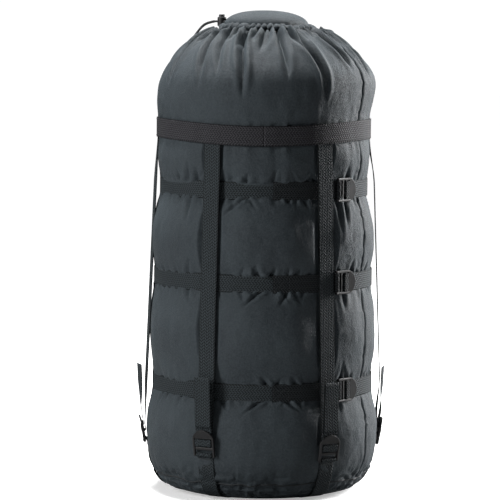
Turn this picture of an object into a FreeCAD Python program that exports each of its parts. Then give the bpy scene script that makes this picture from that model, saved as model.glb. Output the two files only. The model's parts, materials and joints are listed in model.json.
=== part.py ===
"""Nine-strap compression sack for a sleeping bag, standing upright and packed full.

Six vertical straps pull the gathered top towards the bottom, and three horizontal straps
cinch the girth. Every strap is 25 mm webbing in a plastic ladder lock. The mouth is drawn
shut by a cord with a spring cord lock, over a throat flap.

Frame: millimetres, +Z up, origin on the floor at the middle of the base. The front faces -Y.
Angles are degrees about +Z, counted from the front, so +90 is the right-hand side (+X).
Shapes that repeat are built at the front, where outward is -Y, and then turned into place.
"""
import FreeCAD, Part
import os
from math import cos, hypot, radians, sin, sqrt

V = FreeCAD.Vector
UP = V(0, 0, 1)
ACROSS = V(1, 0, 0)
ORIGIN = V(0, 0, 0)

# Materials as sheets
WEB_WIDTH = 25.0
WEB = 1.4                # webbing thickness
CLOTH = 1.2              # shell cloth with its lining
GAP = 0.15               # air between two layers that only touch

# Base
REST_RADIUS = 92.0       # flat disc that stands on the floor
BASE_BEND = (124.0, 9.0)  # radius and height half way round the bottom corner
INNER_BEND = (123.3, 10.1)
SEAM_RADIUS = 149.0
SEAM_LOW, SEAM_HIGH = 24.0, 28.0
SEAM_PROUD = 1.5         # how far the binding stands out of the seam
BINDING_ROUND = 1.2

# Horizontal straps: height of the middle, radius of the cloth they squeeze, angle of the lock
CINCHES = {"low": (154.5, 155.0, 48.5), "middle": (305.0, 153.4, 47.0), "high": (433.0, 145.7, 50.5)}
HALF_WEB = WEB_WIDTH / 2
BAND_LOW, BAND_HIGH = 501.5, 529.5
BAND_RADIUS = 149.3      # cloth under the top band

# The wall bulges between straps: crest radius and height for each tier, from the bottom
CRESTS = [(163.4, 80.0), (160.5, 228.0), (157.5, 370.0), (150.4, 475.0)]
RIGID_SHARE = 0.40       # lower share of a tier that keeps its shape when the sack is compressed

# Gathered collar above the top band, outer surface as (radius, height)
COLLAR = [(152.6, 548.0), (153.0, 568.0), (150.5, 587.0), (139.5, 607.0), (122.0, 627.0),
          (104.0, 640.0), (85.0, 650.0), (70.8, 655.0)]
MOUTH_RADIUS = 64.0
MOUTH_HEIGHT = 656.0
HEM_RADIUS = 5.5
HEM_EXIT = (15.0, 14.0, 8.0)          # opening in the hem for the cord: across, out and up
FLAP_RADIUS, FLAP_EDGE, FLAP_RISE = 55.5, 653.0, 27.0
FLAP_SEAM = 49.0         # straight rear edge that the flap is sewn along, behind the middle

# Vertical straps: angle, and height of the ladder lock's pivot bar
STRAPS = {"front_left": (-28, 67.0), "front_right": (34, 60.0), "left": (-87, 68.0),
          "right": (93, 65.0), "back_left": (-147, 64.0), "back_right": (153, 62.0)}
STRAP_TOP = 516.0        # sewn in under the top band up to here
LOCK_LEAN = 10.0         # how far the strap's pull tips the lock outward
LOCK_STAND_OFF = 1.2     # air between the wall and the web on the pivot bar
TAIL_LENGTH = 108.0      # free end, counted from the pivot bar

# Ladder lock, in its own frame: out from the sack, and along from the pivot bar to the tab
LOCK_WIDTH, RAIL = 33.0, 3.3
PIVOT_BAR = 1.9          # radius
BAR_ROOM = 0.1           # running clearance between the bar and the loop of web round it
BAR_SPANS = [(6.8, 11.0), (15.0, 19.5)]
BAR_LOW, BAR_HIGH = -1.0, 1.6
TAB_START, TAB_SIDE, LOCK_LENGTH = 23.6, 24.5, 36.0
RAIL_LOW, RAIL_HIGH, RAIL_ROUND = -1.6, 2.6, 1.1
BAR_ROUND = 0.9
TAB_THICK, TAB_SUNK, TAB_ROUND, TAB_LIFT = 2.4, 0.6, 0.7, 8   # the lift is in degrees
WRAP_BACK, WRAP_OUT = 13.0, 21.5      # the slots that the strap goes through, before and after a bar
WRAP_SLACK = 0.35        # air between the strap and the front of the bar it goes round
LOAD_LAYER, TAIL_LAYER = -3.6, -2.0   # where the strap lies behind the lock: pulled side, free end
WRAP = 1.3               # webbing thickness where it bends round the bars
WRAP_START = 21.2
WRAP_END = 37.2          # past the tab, where a free end starts to swing
SLIT = 0.6               # between a strap's moving and still parts, so that the lock can tilt
THREADED_WIDTH = WEB_WIDTH - 0.4      # the webbing is squeezed a little between the rails
# Free end, out from its layer and along from the pivot bar: it curls back to the wall
TAIL_CURL = [(0.0, WRAP_END + SLIT), (-0.6, 50.0), (-3.4, 68.0), (-8.4, TAIL_LENGTH)]

# Horizontal locks and strap ends
LOCK_MIDDLE = 18.5       # from the pivot bar to where the lock lies flat on the sack
CINCH_START = 14.0       # the long web is sewn on from here, and runs back round to the lock
ANCHOR_START = 5.0       # the short web is sewn over it
CINCH_PAST_LOCK = 3.0    # degrees from the lock's middle to the end of the long web
ANCHOR_TO_LOCK = 7.5
TAIL_PAST_LOCK, TAIL_ARC = 7.5, 47.5
CINCH_WRAP_END = 27.6    # along the lock, where the threaded webbing ends
END_INSET = 0.2          # a free end is this much narrower on each side

# Drawcord and cord lock
CORD = 1.5               # radius
CORD_APART = 1.75        # half the distance between the two strands
CORD_ANGLE = -130.0      # where the cord leaves the hem
CORD_LOCK_RADIUS, CORD_LOCK_HEIGHT = 80.0, 667.5
CORD_EXIT_TURN = 7.0     # degrees from the exit to where each strand leaves the ring
# Stations of the two strands: angle, radius, height and half the distance between them
CORD_LEAVING = [(CORD_ANGLE, 68.5, 662.0, 2.2)]
CORD_STRAIGHT = [(CORD_ANGLE, CORD_LOCK_RADIUS + step, CORD_LOCK_HEIGHT, CORD_APART)
                 for step in (-7, 0, 8, 16)]
CORD_HANGING = [(-126, 109.0, 662.0, 2.0), (-117, 119.0, 649.0, 2.4), (-107, 132.0, 630.0, 3.0),
                (-100, 149.0, 605.0, 4.0), (-98, 156.5, 580.0, 4.6), (-98, 156.5, 566.0, 4.6)]
BARREL_RADIUS, BARREL_LOW, BARREL_HIGH = 6.4, -8.5, 4.5
PLUNGER_RADIUS, PLUNGER_LOW, PLUNGER_TOP = 4.4, -2.9, 8.5
BARREL_ROUND, PLUNGER_ROUND, SLOT_ROUND = 1.2, 1.6, 1.4
BORE_RADIUS, BORE_FLOOR = 4.5, -7.5
CORD_ROOM, CORD_SIDE_ROOM = 0.8, 0.4      # air round the strands in the slot, upright and sideways
PLUNGER_TRAVEL = 2.5
SPRING_RADIUS, SPRING_WIRE, SPRING_TURNS = 3.2, 0.45, 3   # square wire
SPRING_PLAY = 0.05       # air above and below the spring


def front(radius, height, across=0.0):
    """A point on the front of the sack."""
    return V(across, -radius, height)


def turned(shape, angle):
    """A copy of a shape built at the front, carried round the sack to an angle."""
    shape = shape.copy()
    shape.rotate(ORIGIN, UP, angle)
    return shape


def revolved(edges, turn=360.0, start=0.0):
    """A closed outline at the front, swept round the sack."""
    face = Part.Face(Part.Wire(Part.__sortEdges__(edges)))
    return turned(face.revolve(ORIGIN, UP, turn), start)


def box_ring(inner, outer, low, high, turn=360.0, start=0.0):
    """A band with a rectangular section."""
    corners = [front(inner, low), front(outer, low), front(outer, high), front(inner, high)]
    return revolved(Part.makePolygon(corners + corners[:1]).Edges, turn, start)


def arc_through(a, b, c):
    return Part.Arc(front(*a), front(*b), front(*c)).toShape()


def line(a, b):
    return Part.makeLine(front(*a), front(*b))


def circle_through(a, b, c):
    """Centre and radius of the circle through three (radius, height) points."""
    (ax, ay), (bx, by), (cx, cy) = a, b, c
    d = 2 * (ax * (by - cy) + bx * (cy - ay) + cx * (ay - by))
    aa, bb, cc = ax * ax + ay * ay, bx * bx + by * by, cx * cx + cy * cy
    x = (aa * (by - cy) + bb * (cy - ay) + cc * (ay - by)) / d
    y = (aa * (cx - bx) + bb * (ax - cx) + cc * (bx - ax)) / d
    return x, y, hypot(ax - x, ay - y)


def offset(points, distance):
    """Points moved sideways from the line through them, to its right for a positive distance."""
    moved = []
    for i, (x, y) in enumerate(points):
        before, after = points[max(i - 1, 0)], points[min(i + 1, len(points) - 1)]
        dx, dy = after[0] - before[0], after[1] - before[1]
        length = hypot(dx, dy)
        moved.append((x + distance * dy / length, y - distance * dx / length))
    return moved


def ribbon(points, thick, width, smooth=False):
    """Webbing seen edge-on: a (radius, height) centre line given thickness, then width."""
    sides = [offset(points, thick / 2), offset(points, -thick / 2)]
    edges = []
    for side in sides:
        if smooth:
            curve = Part.BSplineCurve()
            curve.interpolate([front(*p) for p in side])
            edges.append(curve.toShape())
        else:
            edges += Part.makePolygon([front(*p) for p in side]).Edges
    edges += [line(sides[0][i], sides[1][i]) for i in (0, -1)]
    face = Part.Face(Part.Wire(Part.__sortEdges__(edges)))
    face.translate(V(-width / 2, 0, 0))
    return face.extrude(V(width, 0, 0))


def tier_points(number):
    """Foot, crest and head of one bulge of the wall, as (radius, height), from 0 at the bottom."""
    rings = [CINCHES[k] for k in ("low", "middle", "high")]
    feet = [(SEAM_RADIUS + 1, SEAM_HIGH)] + [(r, z + HALF_WEB) for z, r, _ in rings]
    heads = [(r, z - HALF_WEB) for z, r, _ in rings] + [(BAND_RADIUS, BAND_LOW)]
    return feet[number], CRESTS[number], heads[number]


def wall_radius(height):
    """Outer radius of the cloth at a height between the seam and the top band."""
    for number in range(len(CRESTS)):
        foot, crest, head = tier_points(number)
        if height < foot[1]:
            return foot[0]
        if height <= head[1]:
            x, y, radius = circle_through(foot, crest, head)
            return x + sqrt(radius**2 - (height - y)**2)
    return BAND_RADIUS


def tier(number):
    """One bulge of the wall as a shell."""
    foot, crest, head = tier_points(number)
    inner = [(r - CLOTH, z) for r, z in (foot, crest, head)]
    edges = [arc_through(foot, crest, head), line(head, inner[2]),
             arc_through(*inner), line(inner[0], foot)]
    return revolved(edges)


def below(shape, height):
    return shape.common(Part.makeBox(600, 600, height, V(-300, -300, 0)))


def above(shape, height):
    return shape.common(Part.makeBox(600, 600, 900, V(-300, -300, height)))


def walls():
    """The cloth tube, tier by tier. A compressible tier has a lower part and a folding part."""
    parts = {"wall_1": tier(0)}
    for number, name in enumerate(("low", "middle", "high"), start=1):
        z, r, _ = CINCHES[name]
        shell = tier(number)
        foot, _, head = tier_points(number)
        split = foot[1] + RIGID_SHARE * (head[1] - foot[1])
        strip = box_ring(r - CLOTH, r, z - HALF_WEB, z + HALF_WEB)
        parts[f"wall_{number + 1}"] = strip.fuse(below(shell, split)).removeSplitter()
        parts[f"wall_{number + 1}_fold"] = above(shell, split)
    return parts


def base():
    """Round bottom panel with its bent-up edge, and the binding over the bottom seam."""
    edge, bend = (SEAM_RADIUS, SEAM_LOW), BASE_BEND
    shell = [arc_through((REST_RADIUS, 0), bend, edge), line(edge, (edge[0] - CLOTH, edge[1])),
             arc_through((edge[0] - CLOTH, edge[1]), INNER_BEND, (REST_RADIUS, CLOTH)),
             line((REST_RADIUS, CLOTH), (0, CLOTH)), line((0, CLOTH), (0, 0)),
             line((0, 0), (REST_RADIUS, 0))]
    binding = box_ring(SEAM_RADIUS - CLOTH, SEAM_RADIUS + SEAM_PROUD, SEAM_LOW, SEAM_HIGH)
    outer = [e for e in binding.Edges
             if e.BoundBox.XMax > SEAM_RADIUS + SEAM_PROUD - 0.1 and e.BoundBox.ZLength < 0.01]
    rounded = binding.makeFillet(BINDING_ROUND, outer)
    return {"bottom_panel": revolved(shell), "bottom_seam_binding": rounded}


def lock_bar(low, high):
    """A cross bar of the lock, as a box with rounded long edges."""
    bar = Part.makeBox(LOCK_WIDTH, BAR_HIGH - BAR_LOW, high - low, V(-LOCK_WIDTH / 2, -BAR_HIGH, low))
    return bar.makeFillet(BAR_ROUND, [e for e in bar.Edges if e.BoundBox.XLength > 1])


def ladder_lock():
    """Plastic ladder lock: two rails, a pivot bar, two cross bars and an arched lifting tab."""
    half = LOCK_WIDTH / 2
    below_bar = PIVOT_BAR + 0.4
    rail = Part.makeBox(RAIL, RAIL_HIGH - RAIL_LOW, TAB_SIDE + 0.4 + below_bar,
                        V(-half, -RAIL_HIGH, -below_bar))
    rail = rail.makeFillet(RAIL_ROUND, [e for e in rail.Edges if e.BoundBox.XLength < 0.01])
    rails = [rail, rail.mirror(ORIGIN, ACROSS)]
    pivot = Part.makeCylinder(PIVOT_BAR, LOCK_WIDTH - RAIL, V(-(LOCK_WIDTH - RAIL) / 2, 0, 0), ACROSS)
    bars = [lock_bar(low, high) for low, high in BAR_SPANS]

    arch = Part.Arc(V(-half, 0, TAB_SIDE), V(0, 0, LOCK_LENGTH), V(half, 0, TAB_SIDE)).toShape()
    corners = [V(half, 0, TAB_SIDE), V(half, 0, TAB_START), V(-half, 0, TAB_START),
               V(-half, 0, TAB_SIDE)]
    outline = Part.Wire([arch] + Part.makePolygon(corners).Edges)
    tab = Part.Face(outline).extrude(V(0, -TAB_THICK, 0))
    tab = tab.makeFillet(TAB_ROUND, [e for e in tab.Edges if e.Curve.TypeId == "Part::GeomCircle"])
    tab.translate(V(0, TAB_SUNK, 0))
    tab.rotate(V(0, 0, TAB_START), ACROSS, TAB_LIFT)
    return pivot.multiFuse(rails + bars + [tab]).removeSplitter()


def wrap(end):
    """Webbing inside the lock: up behind it, round the second bar, and out under the tab."""
    over = BAR_HIGH + WRAP_SLACK + WRAP / 2
    # each corner of the path is cut twice: this far from the corner, and then this near to it
    far, near_out, near_along = 1.3, 0.3, 0.4
    out_far = far - 0.1
    path = [(LOAD_LAYER, WRAP_START), (LOAD_LAYER, WRAP_BACK + far + 0.2),
            (LOAD_LAYER + near_out + 0.2, WRAP_BACK + near_along), (LOAD_LAYER + out_far + 0.4, WRAP_BACK),
            (over - out_far, WRAP_BACK), (over - near_out, WRAP_BACK + near_along),
            (over, WRAP_BACK + far), (over, WRAP_OUT - far), (over - near_out, WRAP_OUT - near_along),
            (over - out_far, WRAP_OUT), (TAIL_LAYER + out_far, WRAP_OUT),
            (TAIL_LAYER + near_out, WRAP_OUT + near_along), (TAIL_LAYER, WRAP_OUT + far)]
    return path + end


def pivot_point(lock_height):
    """Radius and height of a vertical lock's pivot bar."""
    return wall_radius(lock_height) + LOCK_STAND_OFF + WEB + BAR_ROOM + PIVOT_BAR, lock_height


def placed_vertical(shape, pivot):
    """A lock-frame shape carried to its pivot bar at the front, leaning outward."""
    shape = shape.copy()
    shape.rotate(ORIGIN, ACROSS, LOCK_LEAN)
    shape.translate(front(*pivot))
    return shape


def lock_to_wall(out, along, pivot):
    """A (out, along) point of a vertical lock as (radius, height) on the sack."""
    lean = radians(LOCK_LEAN)
    return (pivot[0] + out * cos(lean) + along * sin(lean),
            pivot[1] + along * cos(lean) - out * sin(lean))


def taut(points):
    """The points a stretched strap touches: the outer hull of a profile, from top to bottom."""
    hull = []
    for p in points:
        while len(hull) > 1:
            (ax, ay), (bx, by) = hull[-2], hull[-1]
            if (bx - ax) * (p[1] - ay) - (by - ay) * (p[0] - ax) < 0:
                break
            hull.pop()
        hull.append(p)
    return hull


def strap_path(pivot):
    """Centre line of a vertical strap from under the top band down to its lock."""
    under_band = BAND_RADIUS + GAP + WEB / 2
    lift = 3 * GAP + WEB / 2
    samples = [(under_band, BAND_LOW - 1.0)]
    for height in range(494, 100, -12):
        samples.append((wall_radius(height) + lift, height))
    samples.append(lock_to_wall(LOAD_LAYER, WRAP_START + SLIT, pivot))
    return [(under_band, STRAP_TOP)] + taut(samples)


def anchor_path(pivot):
    """Centre line of a short bottom web: round the base's corner, over the seam, up to the lock."""
    x, y, radius = circle_through((REST_RADIUS, 0), BASE_BEND, (SEAM_RADIUS, SEAM_LOW))
    lift = GAP + WEB / 2
    path = []
    for r in (124.0, 131.0, 137.5, 143.0, 146.8):
        z = y - sqrt(radius**2 - (r - x)**2)
        nx, nz = (r - x) / radius, (z - y) / radius
        path.append((r + nx * lift, z + nz * lift))
    for z in (SEAM_LOW - 0.5, SEAM_HIGH):
        path.append((SEAM_RADIUS + SEAM_PROUD + lift, z))
    for z in (34.0, 40.0, 47.0, pivot[1] - 8.0):
        path.append((wall_radius(z) + lift + 0.1, z))
    path.append((pivot[0] - PIVOT_BAR - BAR_ROOM - WEB / 2, pivot[1]))
    return path


def bar_loop():
    """Webbing closed round the pivot bar, in the lock's frame."""
    inner = PIVOT_BAR + BAR_ROOM
    start = V(-WEB_WIDTH / 2, 0, 0)
    tube = Part.makeCylinder(inner + WEB, WEB_WIDTH, start, ACROSS)
    return tube.cut(Part.makeCylinder(inner, WEB_WIDTH, start, ACROSS))


def vertical_strap(lock_height):
    """One strap at the front: long web, ladder lock, web inside the lock, free end, bottom web."""
    pivot = pivot_point(lock_height)
    web = ribbon(strap_path(pivot), WEB, WEB_WIDTH)
    bar_room = Part.makeCylinder(PIVOT_BAR + BAR_ROOM, WEB_WIDTH * 2, V(-WEB_WIDTH, 0, 0), ACROSS)
    anchor = ribbon(anchor_path(pivot), WEB, WEB_WIDTH).fuse(placed_vertical(bar_loop(), pivot))
    anchor = anchor.cut(placed_vertical(bar_room, pivot)).removeSplitter()
    lock = placed_vertical(ladder_lock(), pivot)
    end = [(TAIL_LAYER + out, along) for out, along in TAIL_CURL]
    threaded = placed_vertical(ribbon(wrap([(TAIL_LAYER, WRAP_END)]), WRAP, THREADED_WIDTH), pivot)
    tail = placed_vertical(ribbon(end, WRAP, THREADED_WIDTH), pivot)
    return web, lock, threaded, tail, anchor


def vertical_straps():
    """All six vertical straps. Their bottom webs are one group, sewn to the same seam."""
    parts, anchors = {}, []
    for name, (angle, lock_height) in STRAPS.items():
        pieces = [turned(shape, angle) for shape in vertical_strap(lock_height)]
        for kind, shape in zip(("strap", "ladder_lock", "strap_wrap", "strap_end"), pieces):
            parts[f"{kind}_{name}"] = shape
        anchors.append(pieces[-1])
    parts["anchor_webs"] = Part.makeCompound(anchors)
    return parts


def cinch_lock_radius(cloth_radius):
    """Radius of a horizontal lock's mid-plane at its middle."""
    return cloth_radius + GAP + WEB / 2 - LOAD_LAYER


def placed_cinch(shape, cinch):
    """A lock-frame shape laid along a horizontal strap."""
    height, cloth_radius, angle = cinch
    shape = shape.copy()
    shape.rotate(ORIGIN, V(0, 1, 0), 90)
    shape.translate(V(-LOCK_MIDDLE, -cinch_lock_radius(cloth_radius), height))
    return turned(shape, angle)


def cinch_straps():
    """Three horizontal straps: long web, anchor web, ladder lock, the wrap in it and the free end."""
    parts = {}
    bar_room = Part.makeCylinder(PIVOT_BAR + BAR_ROOM, WEB_WIDTH * 2, V(-WEB_WIDTH, 0, 0), ACROSS)
    threaded = ribbon(wrap([(TAIL_LAYER, CINCH_WRAP_END)]), WRAP, THREADED_WIDTH)
    for name, cinch in CINCHES.items():
        height, cloth_radius, angle = cinch
        low, high = height - HALF_WEB, height + HALF_WEB
        inner = cloth_radius + GAP
        outer = inner + WEB + GAP
        web_from = angle + CINCH_PAST_LOCK
        anchor_to = angle - ANCHOR_TO_LOCK
        web = box_ring(inner, inner + WEB, low, high, 360.0 + CINCH_START - web_from, web_from)
        anchor = box_ring(outer, outer + WEB, low, high, anchor_to - ANCHOR_START, ANCHOR_START)
        anchor = anchor.fuse(placed_cinch(bar_loop(), cinch)).cut(placed_cinch(bar_room, cinch))
        parts[f"cinch_web_{name}"] = web
        parts[f"cinch_anchor_{name}"] = anchor.removeSplitter()
        parts[f"cinch_lock_{name}"] = placed_cinch(ladder_lock(), cinch)
        parts[f"cinch_wrap_{name}"] = placed_cinch(threaded, cinch)
        parts[f"cinch_end_{name}"] = box_ring(outer, outer + WEB, low + END_INSET, high - END_INSET,
                                              TAIL_ARC, angle + TAIL_PAST_LOCK)
    return parts


def collar():
    """Cloth above the top band, drawn in to the mouth, with the band sewn round its foot."""
    inner = offset(COLLAR, -CLOTH)
    curves = []
    for points in (COLLAR, inner):
        curve = Part.BSplineCurve()
        curve.interpolate([front(*p) for p in points])
        curves.append(curve.toShape())
    foot, shoulder = (BAND_RADIUS, BAND_LOW), (BAND_RADIUS, BAND_HIGH)
    inner_foot, inner_shoulder = (BAND_RADIUS - CLOTH, BAND_LOW), (BAND_RADIUS - CLOTH, BAND_HIGH)
    edges = curves + [line(COLLAR[-1], inner[-1]), line(COLLAR[0], shoulder), line(shoulder, foot),
                      line(foot, inner_foot), line(inner_foot, inner_shoulder),
                      line(inner_shoulder, inner[0])]
    strap_edge = hypot(BAND_RADIUS + GAP + WEB, HALF_WEB)
    inside = strap_edge + GAP
    return {"collar": revolved(edges), "top_band": box_ring(inside, inside + WEB, BAND_LOW, BAND_HIGH)}


def cord_point(angle, radius, height, apart=0.0):
    """A point at an angle round the sack, shifted sideways by half the strands' distance."""
    a = radians(angle)
    return V(radius * sin(a) + apart * cos(a), -radius * cos(a) + apart * sin(a), height)


def pipe(points):
    """A length of drawcord through points."""
    path = Part.BSplineCurve()
    path.interpolate(points)
    heading = path.tangent(path.FirstParameter)[0]
    profile = Part.Wire(Part.makeCircle(CORD, points[0], heading))
    return Part.Wire(path.toShape()).makePipeShell([profile], True, False)


def drawcord():
    """One cord: round inside the hem, out at the exit, through the cord lock and hanging in a loop."""
    angle, radius, height, apart = CORD_HANGING[-1]
    section = Part.Face(Part.Wire(Part.makeCircle(CORD, V(apart, 0, 0), UP)))
    bend = turned(section.revolve(ORIGIN, V(0, 1, 0), 180), angle)
    bend.translate(cord_point(angle, radius, height))
    ring = Part.makeTorus(MOUTH_RADIUS, CORD, V(0, 0, MOUTH_HEIGHT), UP, 0, 360, 360 - 2 * CORD_EXIT_TURN)
    pieces = [bend, turned(ring, CORD_ANGLE + CORD_EXIT_TURN - 90.0)]
    for side in (-1, 1):
        start = cord_point(CORD_ANGLE + side * CORD_EXIT_TURN, MOUTH_RADIUS, MOUTH_HEIGHT)
        strand = CORD_LEAVING + CORD_STRAIGHT + CORD_HANGING
        pieces.append(pipe([start] + [cord_point(a, r, z, side * w) for a, r, z, w in strand]))
    return pieces[0].multiFuse(pieces[1:])


def mouth():
    """Hem channel with the drawcord in it, and the throat flap under the mouth."""
    tube = Part.makeTorus(MOUTH_RADIUS, HEM_RADIUS, V(0, 0, MOUTH_HEIGHT))
    channel = Part.makeTorus(MOUTH_RADIUS, HEM_RADIUS - CLOTH, V(0, 0, MOUTH_HEIGHT))
    across, out, up = HEM_EXIT
    exit_slot = Part.makeBox(across, out, up, V(-across / 2, -MOUTH_RADIUS - out, MOUTH_HEIGHT - 1.7))
    hem = tube.cut(channel).cut(turned(exit_slot, CORD_ANGLE))

    rise, radius = FLAP_RISE, FLAP_RADIUS
    ball = (radius**2 + rise**2) / (2 * rise)
    middle = FLAP_EDGE + rise - ball
    top, low_top = (0, FLAP_EDGE + rise), (0, FLAP_EDGE + rise - CLOTH)
    half = radius / 2
    bow = (half, middle + sqrt(ball**2 - half**2))
    under = (half, bow[1] - CLOTH * 1.05)
    rim = (radius - CLOTH * 0.6, FLAP_EDGE - CLOTH * 0.8)
    edges = [arc_through((radius, FLAP_EDGE), bow, top), line(top, low_top),
             arc_through(low_top, under, rim), line(rim, (radius, FLAP_EDGE))]
    flap = revolved(edges).common(Part.makeBox(400, 200 + FLAP_SEAM, 900, V(-200, -200, 0)))
    return {"mouth_hem": hem, "drawcord": drawcord(), "throat_flap": flap}


def cord_lock():
    """Spring cord lock on the two strands: barrel, push button and the spring between them."""
    middle = front(CORD_LOCK_RADIUS, CORD_LOCK_HEIGHT)

    def slot(low, high):
        """Room for both strands, through the lock along the cord."""
        half = CORD + CORD_APART + CORD_SIDE_ROOM
        box = Part.makeBox(2 * half, 20, high - low, middle + V(-half, -10, low))
        return box.makeFillet(SLOT_ROUND, [e for e in box.Edges if e.BoundBox.YLength > 1])

    room = CORD + CORD_ROOM
    barrel = Part.makeCylinder(BARREL_RADIUS, BARREL_HIGH - BARREL_LOW, middle + V(0, 0, BARREL_LOW))
    barrel = barrel.makeFillet(BARREL_ROUND, [e for e in barrel.Edges if e.BoundBox.ZLength < 0.01])
    bore = Part.makeCylinder(BORE_RADIUS, 20, middle + V(0, 0, BORE_FLOOR))
    barrel = barrel.cut(bore).cut(slot(-room, room))

    button = Part.makeCylinder(PLUNGER_RADIUS, PLUNGER_TOP - PLUNGER_LOW, middle + V(0, 0, PLUNGER_LOW))
    rim = [e for e in button.Edges if e.BoundBox.ZMin > CORD_LOCK_HEIGHT + PLUNGER_TOP - 0.1]
    button = button.makeFillet(PLUNGER_ROUND, rim).cut(slot(-room, room + PLUNGER_TRAVEL + 0.1))

    rise = PLUNGER_LOW - BORE_FLOOR - SPRING_WIRE - 2 * SPRING_PLAY
    helix = Part.makeHelix(rise / SPRING_TURNS, rise, SPRING_RADIUS)
    near, far = SPRING_RADIUS - SPRING_WIRE / 2, SPRING_RADIUS + SPRING_WIRE / 2
    half = SPRING_WIRE / 2
    corners = [V(near, 0, -half), V(far, 0, -half), V(far, 0, half), V(near, 0, half)]
    section = Part.makePolygon(corners + corners[:1])
    spring = Part.Wire(helix).makePipeShell([section], True, True)
    spring.translate(middle + V(0, 0, BORE_FLOOR + half + SPRING_PLAY))
    pieces = {"cord_lock_barrel": barrel, "cord_lock_button": button, "cord_lock_spring": spring}
    return {name: turned(shape, CORD_ANGLE) for name, shape in pieces.items()}


def build():
    """Every sub-part of the sack, by node name."""
    parts = {}
    for section in (base, walls, vertical_straps, cinch_straps, collar, mouth, cord_lock):
        parts.update(section())
    return parts


def main():
    os.makedirs("parts", exist_ok=True)
    for name, shape in build().items():
        if not shape.isValid() or shape.Volume <= 0:
            raise ValueError(f"{name} isn't a valid solid")
        shape.exportStep(f"parts/{name}.step")


if __name__ == "__main__":
    main()
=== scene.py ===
"""Looks of the compression sack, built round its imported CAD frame. Units are metres.

Places on the sack are (angle, height): the angle is counted from the front, so that +90 degrees
is the right-hand side. Every soft piece is a grid of points made here; the plastic parts keep
their CAD shape and only get a material.
"""
import json
from math import cos, hypot, pi, radians, sin

import bpy
import numpy as np
from mathutils import Matrix, Vector


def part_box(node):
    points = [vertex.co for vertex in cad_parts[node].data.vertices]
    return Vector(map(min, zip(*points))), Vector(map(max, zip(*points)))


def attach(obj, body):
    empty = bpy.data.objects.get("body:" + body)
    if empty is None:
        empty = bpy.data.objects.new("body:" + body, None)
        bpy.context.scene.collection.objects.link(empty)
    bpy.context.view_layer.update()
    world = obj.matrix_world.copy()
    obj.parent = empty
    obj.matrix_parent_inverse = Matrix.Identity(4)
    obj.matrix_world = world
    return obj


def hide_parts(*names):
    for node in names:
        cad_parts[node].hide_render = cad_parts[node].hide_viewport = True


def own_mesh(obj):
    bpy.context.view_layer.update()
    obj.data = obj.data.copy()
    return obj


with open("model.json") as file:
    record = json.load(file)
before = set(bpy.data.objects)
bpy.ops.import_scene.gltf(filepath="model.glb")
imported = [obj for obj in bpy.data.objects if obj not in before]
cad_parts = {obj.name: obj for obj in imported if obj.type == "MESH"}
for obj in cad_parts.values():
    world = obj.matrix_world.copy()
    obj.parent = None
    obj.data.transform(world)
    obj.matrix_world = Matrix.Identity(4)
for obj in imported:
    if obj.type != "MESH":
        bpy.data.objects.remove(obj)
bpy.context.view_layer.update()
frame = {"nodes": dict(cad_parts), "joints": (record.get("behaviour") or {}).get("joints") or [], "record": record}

MM = 0.001


# ---------------------------------------------------------------- sizes read from the frame

def half_width(node):
    """Largest distance of a ring-shaped node from the sack's axis."""
    low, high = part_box(node)
    return (high.x - low.x) / 2


def middle_height(node):
    low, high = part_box(node)
    return (low.z + high.z) / 2


def cad_points(node):
    mesh = frame["nodes"][node].data
    points = np.empty(len(mesh.vertices) * 3)
    mesh.vertices.foreach_get("co", points)
    return points.reshape(-1, 3)


WEB = 1.4 * MM
WEB_WIDTH = 25 * MM
END_WIDTH = 24.6 * MM
LAYER_GAP = 0.15 * MM
RINGS = ["low", "middle", "high"]
RING_BODY = {"low": "sack", "middle": "middle_girth", "high": "upper_girth"}
STRAPS = ["front_left", "front_right", "left", "right", "back_left", "back_right"]
ring_height = {name: middle_height(f"cinch_web_{name}") for name in RINGS}
ring_cloth = {name: half_width(f"cinch_web_{name}") - WEB - LAYER_GAP for name in RINGS}
seam_radius = half_width("bottom_seam_binding") - 1.5 * MM
seam_height = middle_height("bottom_seam_binding")
band_low, band_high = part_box("top_band")[0].z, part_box("top_band")[1].z
band_outer = half_width("top_band")
hem_thickness = (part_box("mouth_hem")[1].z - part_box("mouth_hem")[0].z) / 2
mouth_radius = half_width("mouth_hem") - hem_thickness
mouth_height = middle_height("mouth_hem")


def angle_of(points):
    """Angle round the sack of one point or of an array of points, from the front."""
    return np.arctan2(points[..., 0], -points[..., 1])


strap_angle = {name: angle_of(cad_points(f"strap_{name}").mean(axis=0)) for name in STRAPS}
joints = {joint["name"]: joint for joint in frame["joints"]}


def at_angle(angle, radius, height, sideways=0.0):
    """A point on the sack, shifted sideways along the tangent."""
    return np.array([radius * sin(angle) + sideways * cos(angle),
                     -radius * cos(angle) + sideways * sin(angle), height])


def round_points(angle, radius, height):
    """Points on the sack, from arrays of angles, radii and heights."""
    return np.stack([radius * np.sin(angle), -radius * np.cos(angle), height], axis=-1)


def unit(vectors):
    """Vectors brought to a length of 1."""
    return vectors / np.linalg.norm(vectors, axis=-1, keepdims=True)


def lengths_along(line):
    """Distance of each point of a line of points from its start, along the line."""
    return np.concatenate([[0], np.cumsum(np.linalg.norm(np.diff(line, axis=0), axis=1))])


def outline(nodes):
    """Outer profile of nodes that are round about the axis, as heights and radii."""
    points = np.concatenate([cad_points(node) for node in nodes])
    radii = np.hypot(points[:, 0], points[:, 1])
    slots = np.round(points[:, 2] / (2 * MM)).astype(int)
    outermost = [np.nonzero(slots == slot)[0][radii[slots == slot].argmax()] for slot in np.unique(slots)]
    return points[outermost, 2], radii[outermost]


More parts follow.
